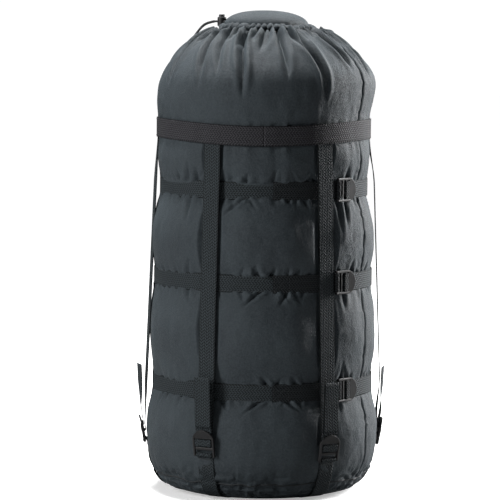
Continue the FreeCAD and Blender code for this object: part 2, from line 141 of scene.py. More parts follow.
def ribbon_profile(node, angle):
    """Middle line of a CAD webbing node at an angle, as radii and heights from top to bottom."""
    points = cad_points(node)
    aside = points[:, 0] * cos(angle) + points[:, 1] * sin(angle)
    out = points[:, 0] * sin(angle) - points[:, 1] * cos(angle)
    beneath = (np.abs(aside) < 0.6 * WEB_WIDTH) & (out > 0)
    points, out = points[beneath], out[beneath]
    slots = np.round(points[:, 2] / (0.8 * MM)).astype(int)
    line = []
    for slot in np.unique(slots)[::-1]:
        here = out[slots == slot]
        if here.max() - here.min() > WEB / 2:
            line.append(((here.max() + here.min()) / 2, points[slots == slot, 2].mean()))
    return np.array(line)


# ---------------------------------------------------------------- noise and grids

NOISE_RADIUS = 0.16      # radius of the circle on which the size of the noise is measured


def smooth_step(t):
    t = np.clip(t, 0, 1)
    return t * t * (3 - 2 * t)


def noise_1d(x, scale, seed):
    """Smooth noise between -1 and 1 along a line."""
    knots = np.random.default_rng(seed).uniform(-1, 1, 512)
    t = np.asarray(x, float) / scale + 200.0
    i = np.floor(t).astype(int)
    f = smooth_step(t - i)
    return knots[i % 512] * (1 - f) + knots[(i + 1) % 512] * f


def noise_round(angle, height, size, tall, seed):
    """Smooth noise between -1 and 1 over the sack's side, closed round the circle."""
    count = max(3, int(round(2 * pi * NOISE_RADIUS / size)))
    knots = np.random.default_rng(seed).uniform(-1, 1, (count, 256))
    a, b = np.asarray(angle) / (2 * pi) * count, np.asarray(height) / tall + 64.0
    i, j = np.floor(a).astype(int), np.floor(b).astype(int)
    fa, fb = smooth_step(a - i), smooth_step(b - j)
    low = knots[i % count, j % 256] * (1 - fa) + knots[(i + 1) % count, j % 256] * fa
    high = knots[i % count, (j + 1) % 256] * (1 - fa) + knots[(i + 1) % count, (j + 1) % 256] * fa
    return low * (1 - fb) + high * fb


def noise_ring(angle, size, seed):
    """Smooth noise between -1 and 1 round the sack, the same at every height."""
    return noise_round(angle, 0 * angle, size, 1, seed)


def full_circle(count):
    """Even angles once round, without the last one that meets the first."""
    return np.arange(count) * 2 * pi / count


def turn_to(angle):
    """An angle brought between -180 and 180 degrees."""
    return (angle + pi) % (2 * pi) - pi


def new_object(name, vertices, faces):
    """A mesh object. Its faces with four corners are smooth."""
    if isinstance(faces, np.ndarray):
        faces = faces.tolist()
    mesh = bpy.data.meshes.new(name)
    mesh.from_pydata(np.asarray(vertices).reshape(-1, 3).tolist(), [], faces)
    mesh.polygons.foreach_set("use_smooth", [len(face) == 4 for face in faces])
    obj = bpy.data.objects.new(name, mesh)
    bpy.context.scene.collection.objects.link(obj)
    return obj


def grid_faces(rows, columns, closed):
    """Quads of a grid of points stored row by row, closed round each row or open."""
    r, c = np.meshgrid(np.arange(rows - 1), np.arange(columns if closed else columns - 1),
                       indexing="ij")
    r, c = r.ravel(), c.ravel()
    d = (c + 1) % columns
    return np.stack([r * columns + c, r * columns + d, (r + 1) * columns + d,
                     (r + 1) * columns + c], axis=1)


def tube_faces(rows, columns):
    """Faces of a tube of points stored ring by ring, with both ends closed."""
    first, last = list(range(columns))[::-1], [(rows - 1) * columns + c for c in range(columns)]
    return grid_faces(rows, columns, True).tolist() + [first, last]


def finer(grid, axis, closed):
    """A grid of points with one more point between neighbours, on a smooth curve through them."""
    grid = np.moveaxis(grid, axis, 0)
    if closed:
        before, here, after, beyond = (np.roll(grid, -k, axis=0) for k in (-1, 0, 1, 2))
        between = (9 * (here + after) - before - beyond) / 16
        result = np.stack([here, between], axis=1).reshape(-1, *grid.shape[1:])
    else:
        padded = np.concatenate([2 * grid[:1] - grid[1:2], grid, 2 * grid[-1:] - grid[-2:-1]])
        between = (9 * (padded[1:-2] + padded[2:-1]) - padded[:-3] - padded[3:]) / 16
        result = np.empty((2 * len(grid) - 1, *grid.shape[1:]))
        result[::2], result[1::2] = grid, between
    return np.moveaxis(result, 0, axis)


def normals_of(grid):
    """Outward normals of a grid of points that goes up row by row and is closed round each row."""
    round_it = np.roll(grid, -1, axis=1) - np.roll(grid, 1, axis=1)
    up = np.gradient(grid, axis=0)
    return unit(np.cross(round_it, up))


def finish_piece(obj, body, slot, *nodes):
    """Gives a piece its material and ties it to its body and the CAD nodes it stands for."""
    obj.data.materials.append(materials[slot])
    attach(obj, body)
    if nodes:
        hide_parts(*nodes)
    return obj


# ---------------------------------------------------------------- the cloth shell

COLUMNS = 360
ROW_STEP = 3.6 * MM
SLACK_RADIUS = 165.5 * MM      # the cut cloth is a tube of this radius
SLACK_LENGTH = 1.035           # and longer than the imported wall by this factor
WALL_NODES = ["wall_1", "wall_2", "wall_2_fold", "wall_3", "wall_3_fold", "wall_4", "wall_4_fold"]
SIDE_SEAM = radians(62)
FOOT_BULGE, FOOT_LEVEL = 3.5 * MM, 0.042
SHOULDER_BULGE, SHOULDER_LEVEL, SHOULDER_ANGLE = 3.5 * MM, 0.580, radians(88)
BAND_SAG, SAG_FROM = 7.5 * MM, 0.462
TOP_LEAN, LEAN_FROM = 4.5 * MM, 0.535      # the lean starts where the sag ends


def shell_profile():
    """Distance along, radius and height of the filled shell, from the bottom seam to the mouth."""
    heights, radii = outline(WALL_NODES)
    collar_heights, collar_radii = outline(["collar"])
    above = collar_heights > band_high
    heights = np.concatenate([heights, [band_low, band_high], collar_heights[above]])
    radii = np.concatenate([radii, [radii[-1], radii[-1]], collar_radii[above]])
    order = np.argsort(heights)
    points = np.stack([radii[order], heights[order]], axis=1)
    points = points[points[:, 1] > seam_height]
    lengths = np.concatenate([[0], np.cumsum(np.hypot(*np.diff(points, axis=0).T))])
    along = np.linspace(0, lengths[-1], int(lengths[-1] / ROW_STEP))
    radius = np.interp(along, lengths, points[:, 0])
    height = np.interp(along, lengths, points[:, 1])
    soft = np.array([1, 2, 3, 2, 1]) / 9
    radius[2:-2] = np.convolve(radius, soft, "valid")
    return along, radius, height


def held_rows(height):
    """1 where a strap or the band presses the cloth flat, and 0 elsewhere."""
    held = np.zeros_like(height)
    for name in RINGS:
        held[np.abs(height - ring_height[name]) < WEB_WIDTH / 2 - 2 * MM] = 1
    held[(height > band_low + 2 * MM) & (height < band_high - 2 * MM)] = 1
    held[:2] = 1
    held[-2:] = 1
    return held


def near_edges(height, reach):
    """1 at the edges of the straps and the band, falling off over reach."""
    edges = [ring_height[name] + side * WEB_WIDTH / 2 for name in RINGS for side in (-1, 1)]
    edges += [band_low, band_high]
    return np.max([np.exp(-np.abs(height - edge) / reach) for edge in edges], axis=0)


def simulate_shell():
    """Cloth simulation of the filled sack: slack cloth under pressure, held at the straps."""
    along, radius, height = shell_profile()
    held = held_rows(height)
    angles = full_circle(COLUMNS)
    turn, level = np.meshgrid(angles, along)
    collar = smooth_step((height - band_high) / (10 * MM))[:, None]
    ripple = 0.7 * MM * noise_round(turn, level, 18 * MM, 60 * MM, 1)
    ripple = ripple + 0.9 * MM * noise_round(turn, level, 45 * MM, 35 * MM, 2)
    puckers = noise_round(turn, level, 8 * MM, 200 * MM, 3)
    ripple = ripple + 1.8 * MM * puckers * near_edges(height, 14 * MM)[:, None]
    ripple = ripple * (1 - held[:, None]) * (1 - 0.6 * collar)

    slope = unit(np.gradient(np.stack([radius, height], axis=1), axis=0))
    r = radius[:, None] + ripple * slope[:, 1:2]
    z = height[:, None] - ripple * slope[:, 0:1]
    start = round_points(turn, r, z)

    slack = round_points(turn, SLACK_RADIUS, level * SLACK_LENGTH)
    snug = start * [1.012, 1.012, 1] + [0, 0, along[-1] * 0.02]
    rest = np.where(collar[:, :, None] > 0.5, snug, slack)
    shell = new_object("shell", start, grid_faces(len(along), COLUMNS, True))
    simulate(shell, rest.reshape(-1, 3), np.repeat(held, COLUMNS))
    points = np.empty(len(shell.data.vertices) * 3)
    shell.data.vertices.foreach_get("co", points)
    bpy.data.objects.remove(shell)
    return height, points.reshape(len(along), COLUMNS, 3)


# Settings of the cloth simulation for thin coated nylon blown up by its filling
NYLON = {"quality": 6, "mass": 0.3, "tension_stiffness": 15, "compression_stiffness": 15,
         "shear_stiffness": 4, "bending_stiffness": 0.3, "air_damping": 4, "use_pressure": True,
         "uniform_pressure_force": 3.5}


def simulate(obj, rest, pinned, frames=16):
    """Runs a cloth simulation of obj and leaves the settled shape in its mesh."""
    group = obj.vertex_groups.new(name="held")
    group.add([int(i) for i in np.nonzero(pinned)[0]], 1.0, "REPLACE")
    obj.shape_key_add(name="Basis")
    cut = obj.shape_key_add(name="cut")
    cut.data.foreach_set("co", rest.astype(np.float32).ravel())
    modifier = obj.modifiers.new("Cloth", "CLOTH")
    cloth = modifier.settings
    for setting, value in NYLON.items():
        setattr(cloth, setting, value)
    cloth.vertex_group_mass = "held"
    cloth.rest_shape_key = cut
    cloth.effector_weights.gravity = 0
    modifier.collision_settings.use_collision = False
    modifier.point_cache.frame_end = frames
    scene = bpy.context.scene
    for number in range(1, frames + 1):
        scene.frame_set(number)
    evaluated = obj.evaluated_get(bpy.context.evaluated_depsgraph_get())
    points = np.empty(len(evaluated.data.vertices) * 3, np.float32)
    evaluated.data.vertices.foreach_get("co", points)
    obj.modifiers.remove(modifier)
    obj.shape_key_clear()
    obj.data.vertices.foreach_set("co", points)
    obj.data.update()
    scene.frame_set(1)


# Long creases in the gathered top: angle, turn by their end, reach and depth
LONG_CREASES = [(-20, 8, 132, 10.0), (9, 2, 108, 8.0), (26, 7, 134, 9.0), (19, 9, 80, 6.0),
                (-3, -2, 62, 6.0), (-50, 12, 118, 8.0), (-38, 10, 105, 6.0), (-70, 6, 120, 7.0),
                (48, 6, 92, 7.0), (75, -4, 110, 7.0), (105, 5, 125, 8.0), (140, -8, 120, 9.0),
                (172, 6, 130, 9.0), (-160, 4, 118, 8.0), (-130, 6, 128, 9.0), (-100, -5, 112, 8.0)]


def fold_shape(off, wide):
    """A sharp valley with soft ridges beside it, by the distance off its middle."""
    valley = np.exp(-np.abs(off / wide) ** 1.2)
    ridge = 0.45 * np.exp(-((np.abs(off) - 3.0 * wide) / (1.7 * wide)) ** 2)
    return valley - ridge


def crease(turn, radius, from_mouth, place, lean, reach, deep, width):
    """Depth of one crease that runs down from the mouth and fades out at its reach."""
    share = np.clip(from_mouth / reach, 0, 1)
    path = place + lean * smooth_step(share)
    off = turn_to(turn - path) * radius
    wide = width * (0.75 + 0.6 * np.sin(pi * share))
    fade = 1 - smooth_step((share - 0.55) / 0.45)
    return deep * fade * fold_shape(off, wide)


def gather_creases(turn, from_mouth, radius):
    """Depth of the creases that run down from the drawn mouth, deepest at the mouth."""
    dice = np.random.default_rng(21)
    depth = np.zeros_like(turn)
    for place, lean, reach, deep in LONG_CREASES:
        depth += crease(turn, radius, from_mouth, radians(place), radians(lean), reach * MM,
                        deep * MM, 2.3 * MM)
    short = 46
    for number in range(short):
        place = (number + dice.uniform(-0.35, 0.35)) * 2 * pi / short
        reach = dice.choice([24, 36, 55, 75], p=[0.3, 0.3, 0.25, 0.15]) * MM * dice.uniform(0.8, 1.2)
        depth += crease(turn, radius, from_mouth, place, dice.uniform(-0.09, 0.09), reach,
                        dice.uniform(3.5, 7.0) * MM, dice.uniform(1.6, 2.6) * MM)
    return depth


# Clear tucks at each ring and side of it (above is 1): angle, reach, slant and depth
CLEAR_TUCKS = {
    ("high", 1): [(-9, 15, 0.1, 4.5), (24, 14, 0.6, 3.0), (-44, 34, 0.1, 3.0), (-38, 22, 0.0, 2.5),
      (50, 26, 0.1, 3.2)],
    ("high", -1): [(-11, 30, -1.2, 4.0), (22, 16, 0.5, 3.0), (-43, 46, 0.0, 3.2), (43, 60, 0.05, 3.8),
      (49, 50, -0.1, 4.2)],
    ("middle", 1): [(-2, 17, -0.3, 5.0), (4, 13, 0.7, 4.0), (16, 14, 0.8, 3.5), (-42, 24, 0.2, 3.0),
      (52, 24, 0.1, 3.0)],
    ("middle", -1): [(-2, 24, -1.1, 5.0), (12, 20, -0.5, 4.5), (16, 18, 0.6, 4.0), (20, 13, 0.0, 3.5),
      (-42, 18, 0.3, 3.5), (46, 34, 0.0, 3.4)],
    ("low", 1): [(2, 15, -0.5, 4.5), (8, 12, 0.4, 3.5), (17, 14, -0.4, 3.5), (44, 34, 0.1, 4.0),
      (48, 26, -0.3, 3.6)],
    ("low", -1): [(-1, 22, -1.3, 5.0), (13, 20, 1.2, 4.2), (19, 16, 0.3, 4.0), (-20, 16, 0.6, 3.2),
      (-46, 18, -0.2, 3.0), (42, 22, 0.2, 3.2)],
}


def tucks(turn, height, radius):
    """Depth of the short creases where the straps' sewn edges pinch the cloth."""
    dice = np.random.default_rng(8)
    places = [(ring, side, radians(angle), reach * MM, lean, deep * MM, 2.7 * MM)
              for (ring, side), rows in CLEAR_TUCKS.items() for angle, reach, lean, deep in rows]
    for ring in RINGS:
        for side in (-1, 1):
            for _ in range(30):
                places.append((ring, side, dice.uniform(-pi, pi), dice.uniform(7, 22) * MM,
                               dice.uniform(-0.8, 0.8), dice.uniform(0.8, 2.4) * MM, 2.2 * MM))
    depth = np.zeros_like(turn)
    for ring, side, place, reach, lean, deep, wide in places:
        away = (height - ring_height[ring]) * side - WEB_WIDTH / 2
        off = turn_to(turn - place) * radius - lean * away
        fade = (1 - smooth_step(away / reach)) * (away > -5 * MM)
        depth += deep * fade * fold_shape(off, wide * (1 - 0.4 * np.clip(away / reach, 0, 1)))
    return depth


def side_seam(turn, height, radius):
    """Depth of the side seam's groove with its small puckers."""
    off = turn_to(turn - SIDE_SEAM) * radius
    groove = 3.0 * MM * np.exp(-(np.abs(off) / (2.0 * MM)) ** 1.4)
    puckers = 1.1 * MM * noise_1d(height, 6 * MM, 31) * np.exp(-(off / (9 * MM)) ** 2)
    return groove + puckers


def bump_at(height, middle, reach):
    """A smooth bump of 1 about a height."""
    return np.exp(-((height - middle) / reach) ** 2)


def foot_bulge(height):
    """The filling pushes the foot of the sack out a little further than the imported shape."""
    return FOOT_BULGE * bump_at(height, FOOT_LEVEL, 24 * MM)


def foot_crumples(turn, height):
    """Sharp little crumples in the cloth just above the bottom seam."""
    near = bump_at(height, seam_height, 15 * MM)
    coarse = np.abs(noise_round(turn, height, 15 * MM, 9 * MM, 61)) - 0.4
    fine = np.abs(noise_round(turn, height, 8 * MM, 7 * MM, 62)) - 0.4
    at_seam = 1 - smooth_step((height - seam_height) / (5 * MM))
    return near * (1 - at_seam) * (4.6 * MM * coarse + 3.0 * MM * fine)


def seam_wave(angle):
    """How far the bottom seam strays outwards and upwards, as it puckers all round."""
    out = 1.6 * MM * noise_ring(angle, 11 * MM, 71) + 1.2 * MM * noise_ring(angle, 34 * MM, 72)
    up = 1.8 * MM * noise_ring(angle, 16 * MM, 73) + 1.6 * MM * noise_ring(angle, 60 * MM, 74)
    return out, up


def with_seam_wave(points, reach=22 * MM):
    """Points near the bottom seam, moved along with it."""
    angle = angle_of(points)
    out, up = seam_wave(angle)
    share = np.exp(-np.abs(points[..., 2] - seam_height) / reach)
    share = share * smooth_step(points[..., 2] / (12 * MM))
    moved = points.copy()
    moved[..., 0] += out * share * np.sin(angle)
    moved[..., 1] -= out * share * np.cos(angle)
    moved[..., 2] += up * share
    return moved


def strap_limit(turn, height):
    """Largest radius that leaves the cloth under the vertical straps, which press it in."""
    limit = np.full_like(turn, 1.0)
    for name in STRAPS:
        line = ribbon_profile(f"strap_{name}", strap_angle[name])[::-1]
        inner = np.interp(height, line[:, 1], line[:, 0]) - WEB / 2 - 0.5 * MM
        off = np.abs(turn_to(turn - strap_angle[name])) * inner
        beside = np.clip(off - WEB_WIDTH / 2 - 2 * MM, 0, None)
        rise = 0.75 * beside ** 1.5 / (10 * MM) ** 0.5
        rise = rise - 3.0 * MM * np.exp(-((off - WEB_WIDTH / 2) / (5 * MM)) ** 2)
        bound = inner / np.cos(np.clip(off, 0, 13 * MM) / inner) + rise
        beyond = (height > line[-1, 1]) | (height < line[0, 1])
        limit = np.minimum(limit, np.where(beyond, 1.0, bound))
    return limit


def panel_bulge(turn, height):
    """How far the cloth swells out between two vertical straps."""
    nearest = np.min([np.abs(turn_to(turn - angle)) for angle in strap_angle.values()], axis=0)
    levels = [seam_height] + [ring_height[name] for name in RINGS] + [band_low]
    level = np.interp(height, levels, np.arange(len(levels)))
    swell = np.abs(np.sin(pi * level)) * (height < band_low)
    return 4.5 * MM * smooth_step((nearest - 0.06) / 0.30) * swell


def top_lean(points, share=1.0):
    """The gathered top sits a little to the right of the sack's middle."""
    moved = points.copy()
    moved[..., 0] += TOP_LEAN * share * smooth_step((points[..., 2] - LEAN_FROM) / (70 * MM))
    return moved


def shoulder_bulge(turn, height):
    """The gathered top is fuller on the right-hand side, where the filling pushes it out."""
    side = np.exp(-(turn_to(turn - SHOULDER_ANGLE) / 0.45) ** 2)
    return SHOULDER_BULGE * side * bump_at(height, SHOULDER_LEVEL, 26 * MM)


def sag(points):
    """The band and the cloth at it hang a little lower at the front."""
    angle = angle_of(points)
    front = np.cos(np.clip(angle * 1.15, -pi / 2, pi / 2)) ** 2
    height = points[..., 2]
    share = smooth_step((height - SAG_FROM) / 0.035) * (1 - smooth_step((height - LEAN_FROM) / 0.07))
    lowered = points.copy()
    lowered[..., 2] -= BAND_SAG * front * share
    return lowered


def build_shell():
    """The shell as one fine grid, with the simulated folds and every crease."""
    height, settled = simulate_shell()
    fine = finer(finer(settled, 1, True), 0, False)
    height = finer(height, 0, False)
    turn = angle_of(fine)
    radius = np.hypot(fine[..., 0], fine[..., 1])
    level = fine[..., 2]
    rows = np.broadcast_to(height[:, None], turn.shape)
    steps = np.linalg.norm(np.diff(fine, axis=0), axis=2).mean(axis=1)
    along = np.concatenate([[0], np.cumsum(steps)])
    from_mouth = np.broadcast_to((along[-1] - along)[:, None], turn.shape)
    free = 1 - finer(held_rows(height[::2]), 0, False)[:, None]

    shift = panel_bulge(turn, level) + shoulder_bulge(turn, level) + foot_bulge(level)
    shift = shift + foot_crumples(turn, level)
    shift = shift - tucks(turn, level, radius) * free
    shift = shift - gather_creases(turn, from_mouth, radius) * (rows > band_high)
    shift = shift + 0.35 * MM * noise_round(turn, level, 9 * MM, 14 * MM, 14) * free
    shift = shift - side_seam(turn, level, radius)
    fine = fine + normals_of(fine) * shift[..., None]

    radius = np.hypot(fine[..., 0], fine[..., 1])
    limit = strap_limit(turn, level)
    pressed = np.minimum(radius, limit)
    fine[..., :2] *= (pressed / radius)[..., None]
    return height, top_lean(sag(with_seam_wave(fine)))


def shell_piece(name, body, grid, *nodes):
    piece = new_object(name, grid, grid_faces(*grid.shape[:2], True))
    return finish_piece(piece, body, "shell_cloth", *nodes)


def build_cloth():
    """The shell, cut at the straps into pieces, each tied to the body it rides on."""
    height, grid = build_shell()
    cuts = [np.searchsorted(height, ring_height[name]) for name in RINGS]
    cuts.append(np.searchsorted(height, (band_low + band_high) / 2))
    low, middle, high, band = cuts
    shell_piece("cloth_tier_1", "sack", grid[:low + 1], "wall_1")
    tiers = [("cloth_tier_2", "sack", low, middle, "compression", ["wall_2", "wall_2_fold"]),
             ("cloth_tier_3", "middle_girth", middle, high, "compression_of_tier_3",
              ["wall_3", "wall_3_fold"]),
             ("cloth_tier_4", "upper_girth", high, band, "compression_of_tier_4",
              ["wall_4", "wall_4_fold"])]
    for name, body, first, last, joint, nodes in tiers:
        piece = shell_piece(name, body, grid[first:last + 1], *nodes)
        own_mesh(piece)
    shell_piece("cloth_collar", "top", grid[band:], "collar")


# ---------------------------------------------------------------- mouth, flap, drawcord and bottom

def fold_wave(angle, count, seed):
    """A wave of gathered cloth round a circle: uneven folds with sharp valleys, between -1 and 1."""
    drift = 1.5 * noise_ring(angle, 60 * MM, seed)
    uneven = 0.75 + 0.35 * noise_ring(angle, 45 * MM, seed + 1)
    return uneven * (2 * np.abs(np.sin(count * angle / 2 + drift)) ** 0.7 - 1)


def build_mouth_hem():
    """The gathered channel that holds the drawcord: a ruffled tube of cloth."""
    around, section = 720, 22
    angle, turn = np.meshgrid(full_circle(around), full_circle(section), indexing="ij")
    fold = fold_wave(angle, 40, 81)
    pinch = noise_round(angle, turn * 2 * MM, 9 * MM, 4 * MM, 83)
    thick = hem_thickness * (0.86 + 0.10 * fold + 0.10 * pinch)
    radius = mouth_radius + 1.2 * MM * fold + 1.2 * MM * noise_ring(angle, 30 * MM, 84)
    level = mouth_height + 1.3 * MM * fold + 1.8 * MM * noise_ring(angle, 50 * MM, 85)
    lean = 0.5 * np.clip(np.sin(turn), 0, 1)
    r = radius + thick * (np.cos(turn) * 1.05 - lean)
    z = level + thick * np.sin(turn)
    faces = grid_faces(around + 1, section, True) % (around * section)
    hem = new_object("gathered_hem", top_lean(round_points(angle, r, z)), faces)
    finish_piece(hem, "top", "shell_cloth", "mouth_hem")


def build_flap():
    """The loose round flap that closes the throat, gathered a little at its edge."""
    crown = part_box("throat_flap")[1].z + 1.5 * MM
    widest = mouth_radius - 4.0 * MM
    rows, columns = 52, 240
    share, angle = np.meshgrid(np.linspace(0, 1, rows), full_circle(columns), indexing="ij")
    bend = share * (pi / 2 + 0.45)
    ruffle = fold_wave(angle, 26, 91) * share ** 5
    crumple = noise_round(angle, share * 60 * MM, 60 * MM, 20 * MM, 93) * share
    dome, tucked_in = np.minimum(bend, pi / 2), np.clip(bend - pi / 2, 0, 1)
    r = widest * np.sin(dome) ** 0.86 * (1 - 0.05 * tucked_in)
    r = np.maximum(r, 0.1 * MM) * (1 + 0.012 * ruffle)
    base = mouth_height + 3 * MM
    z = base + (crown - base) * np.cos(dome) ** 0.9 - 14 * MM * tucked_in
    z = z + 1.1 * MM * ruffle + 0.9 * MM * crumple * np.sin(pi * share)
    points = round_points(angle, r, z)
    points[..., 0] -= 3 * MM * (1 - share)
    flap = new_object("flap_cloth", top_lean(points, 0.7), grid_faces(rows, columns, True)[:, ::-1])
    give_thickness(flap, 0.8 * MM)
    finish_piece(flap, "throat_flap", "shell_cloth", "throat_flap")


def give_thickness(obj, thick):
    """Turns an open sheet into one with two sides, inwards."""
    modifier = obj.modifiers.new("thickness", "SOLIDIFY")
    modifier.thickness = thick
    modifier.offset = -1
    evaluated = obj.evaluated_get(bpy.context.evaluated_depsgraph_get())
    mesh = bpy.data.meshes.new_from_object(evaluated)
    obj.modifiers.clear()
    obj.data = mesh


def smooth_curve(stations, step):
    """Points at an even step along a smooth curve through the stations."""
    stations = np.array(stations, float)
    before, beyond = 2 * stations[:1] - stations[1:2], 2 * stations[-1:] - stations[-2:-1]
    padded = np.concatenate([before, stations, beyond])
    curve = []
    for a, b, c, d in zip(padded, padded[1:], padded[2:], padded[3:]):
        for t in np.linspace(0, 1, 16, endpoint=False):
            curve.append(0.5 * (2 * b + (c - a) * t + (2 * a - 5 * b + 4 * c - d) * t ** 2
                                + (3 * b - a - 3 * c + d) * t ** 3))
    curve.append(stations[-1])
    return resampled(np.array(curve), step)


def tube(name, points, radius, body, slot, *nodes):
    """A round cord along points, with its length and turn as its weave map."""
    sides = 14
    forward = unit(np.gradient(points, axis=0))
    side = unit(np.cross(forward, [0.31, 0.24, 0.92]))
    other = np.cross(forward, side)
    turn = full_circle(sides)
    grid = (points[:, None] + radius * np.cos(turn)[None, :, None] * side[:, None]
            + radius * np.sin(turn)[None, :, None] * other[:, None])
    strip_object(name, grid, points, turn * radius, body, slot, *nodes)


# Path of the drawcord from its lock: out and up from it in mm, and turned round the sack in degrees
CORD_PATH = [(-14, -1.0, 0), (-7, 0, 0), (0, 0, 0), (8, 0.3, 0), (16, 0, 0.5), (29, -5.5, 4),
             (39.5, -22.5, 8.5), (54, -45.5, 12), (69.5, -67.5, 13), (74, -80, 13)]


def build_drawcord():
    """Two strands of the drawcord, from the cord lock over the shoulder and down to a knot."""
    low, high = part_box("cord_lock_barrel")
    lock = (low + high) / 2
    angle = angle_of(np.array(lock))
    radius = hypot(lock.x, lock.y)
    cord = 1.5 * MM
    ends = []
    for number, apart in enumerate((-1.75 * MM, 1.75 * MM)):
        stations = []
        for out, up, turned in CORD_PATH:
            spread = apart * (1 + 0.8 * np.sin(out * 0.11 + number))
            place = at_angle(angle + radians(turned), radius + out * MM, lock.z + up * MM, spread)
            stations.append(place)
        nodes = ["drawcord"] if number == 0 else []
        strand = smooth_curve(stations, 1.2 * MM)
        tube(f"drawcord_strand_{number + 1}", strand, cord, "top", "cord", *nodes)
        ends.append(stations[-1])
    middle = (ends[0] + ends[1]) / 2
    turn = np.linspace(0, 4 * pi, 60)
    coil = np.stack([3.0 * MM * np.cos(turn), 3.0 * MM * np.sin(turn),
                     1.6 * MM * np.sin(turn * 0.75)], axis=1)
    tube("drawcord_knot", middle + coil, cord * 1.05, "top", "cord")


# Bent-up edge of the bottom panel: height and radius in mm, from where it leaves the ground
BOTTOM_PROFILE = [(0, 104), (1.5, 119), (6, 135), (12, 143.5), (18, 148.3)]


def build_bottom():
    """The crinkled bottom panel, flat where it stands, and the bound seam round it."""
    around, rising, lying = 720, 30, 20
    foot = seam_radius + foot_bulge(seam_height)
    profile = np.array([(up * MM, out * MM) for up, out in BOTTOM_PROFILE] + [(seam_height, foot)])
    level = np.concatenate([np.linspace(seam_height, 0, rising), np.zeros(lying)])
    radius = np.interp(level, profile[:, 0], profile[:, 1])
    radius[rising:] *= np.linspace(0.96, 0.02, lying)
    angle, z = np.meshgrid(full_circle(around), level)
    r = np.broadcast_to(radius[:, None], angle.shape)
    slope = smooth_step(z / (14 * MM))
    crinkle = 4.4 * MM * (np.abs(noise_round(angle, z + r * 0.4, 14 * MM, 8 * MM, 77)) - 0.3)
    crinkle = crinkle + 3.0 * MM * np.abs(noise_round(angle, z, 7 * MM, 12 * MM, 78))
    r = r - crinkle * slope * (1 - np.exp(-(seam_height - z) / (4 * MM)))
    points = with_seam_wave(round_points(angle, r, z))
    points[..., 2] = np.maximum(points[..., 2], 0)
    bottom = new_object("bottom_cloth", points, grid_faces(*angle.shape, True)[:, ::-1])
    finish_piece(bottom, "sack", "shell_cloth", "bottom_panel")
    angle = np.arange(around + 1) * 2 * pi / around
    ring = with_seam_wave(round_points(angle, foot, 0 * angle + seam_height))
    tube("seam_binding", ring, 1.4 * MM, "sack", "binding", "bottom_seam_binding")


# ---------------------------------------------------------------- webbing

def cross_section(width, thick):
    """Corner points of webbing seen end-on: (across, out), with rounded edges."""
    half, bow = width / 2, thick / 2
    side = [(half - bow * 0.9, -bow), (half - bow * 0.25, -bow * 0.7), (half, 0),
            (half - bow * 0.25, bow * 0.7), (half - bow * 0.9, bow)]
    flat = [(half * share, bow) for share in (0.75, 0.5, 0.25, 0, -0.25, -0.5, -0.75)]
    return np.array(side + flat + [(-x, -y) for x, y in side + flat])


def webbing(name, centre, across, out, body, slot, *nodes, width=WEB_WIDTH, thick=WEB):
    """A strip of webbing along a centre line, with its directions across and out at each point."""
    section = cross_section(width, thick)
    points = (centre[:, None, :] + section[None, :, 0, None] * across[:, None, :]
              + section[None, :, 1, None] * out[:, None, :])
    return strip_object(name, points, centre, section[:, 0], body, slot, *nodes)


def strip_object(name, points, centre, across, body, slot, *nodes):
    """A strip or cord whose weave map holds the length along it and the distance across."""
    rows, columns = points.shape[:2]
    obj = new_object(name, points, tube_faces(rows, columns))
    mesh = obj.data
    length = lengths_along(centre)
    uv = mesh.uv_layers.new(name="weave")
    corner = np.empty(len(mesh.loops), np.int64)
    mesh.loops.foreach_get("vertex_index", corner)
    flat = np.stack([length[corner // columns], across[corner % columns]], axis=1)
    uv.data.foreach_set("uv", flat.astype(np.float32).ravel())
    return finish_piece(obj, body, slot, *nodes)


STRIP_STEP = 0.012         # angle between the points of a strip that runs round the sack
RING_WAVE = 0.7 * MM       # how far it wanders up and down


def round_strip(angles, radius, height, wave, seed):
    """Centre line and directions of a strip that runs round the sack."""
    lift = wave * noise_1d(angles * radius, 30 * MM, seed)
    swell = 0.08 * wave * noise_1d(angles * radius, 18 * MM, seed + 1)
    centre = np.array([at_angle(a, radius + s, height + z) for a, s, z in zip(angles, swell, lift)])
    out = np.array([at_angle(a, 1, 0) for a in angles])
    across = np.tile([0.0, 0.0, 1.0], (len(angles), 1))
    return centre, across, out


def upright_strip(line, angle, seed, wave=0.5 * MM, twist=0.0):
    """Centre line and directions of a strip that runs up the sack, from (radius, height) points.

    A positive twist turns its face towards greater angles round the sack. It is given for each
    point, or once for all.
    """
    drift = wave * noise_1d(line[:, 1], 45 * MM, seed)
    centre = np.array([at_angle(angle, r, z, d) for (r, z), d in zip(line, drift)])
    slope = unit(np.gradient(line, axis=0))
    outward = np.stack([-slope[:, 1], slope[:, 0]], axis=1)
    outward *= np.sign(outward[:, :1] + 1e-9)
    out = np.array([at_angle(angle, r, z) for r, z in outward])
    across = np.tile(at_angle(angle, 0, 0, 1.0), (len(line), 1))
    turn = np.broadcast_to(twist, len(line))[:, None]
    turned_across = across * np.cos(turn) - out * np.sin(turn)
    turned_out = out * np.cos(turn) + across * np.sin(turn)
    return centre, turned_across, turned_out


def at_lengths(wanted, lengths, values):
    """Rows of values read off at the wanted lengths."""
    return np.stack([np.interp(wanted, lengths, column) for column in values.T], axis=1)


def resampled(line, step):
    """Points at an even step along a line of points."""
    lengths = lengths_along(line)
    at = np.linspace(0, lengths[-1], max(3, int(lengths[-1] / step)))
    return at_lengths(at, lengths, line)


def arc_of(node):
    """First and last angle of a strip node that runs round the sack the positive way."""
    points = cad_points(node)
    angle = np.sort(angle_of(points))
    gaps = np.diff(np.concatenate([angle, [angle[0] + 2 * pi]]))
    widest = gaps.argmax()
    first = angle[(widest + 1) % len(angle)]
    last = angle[widest]
    return first, last if last > first else last + 2 * pi


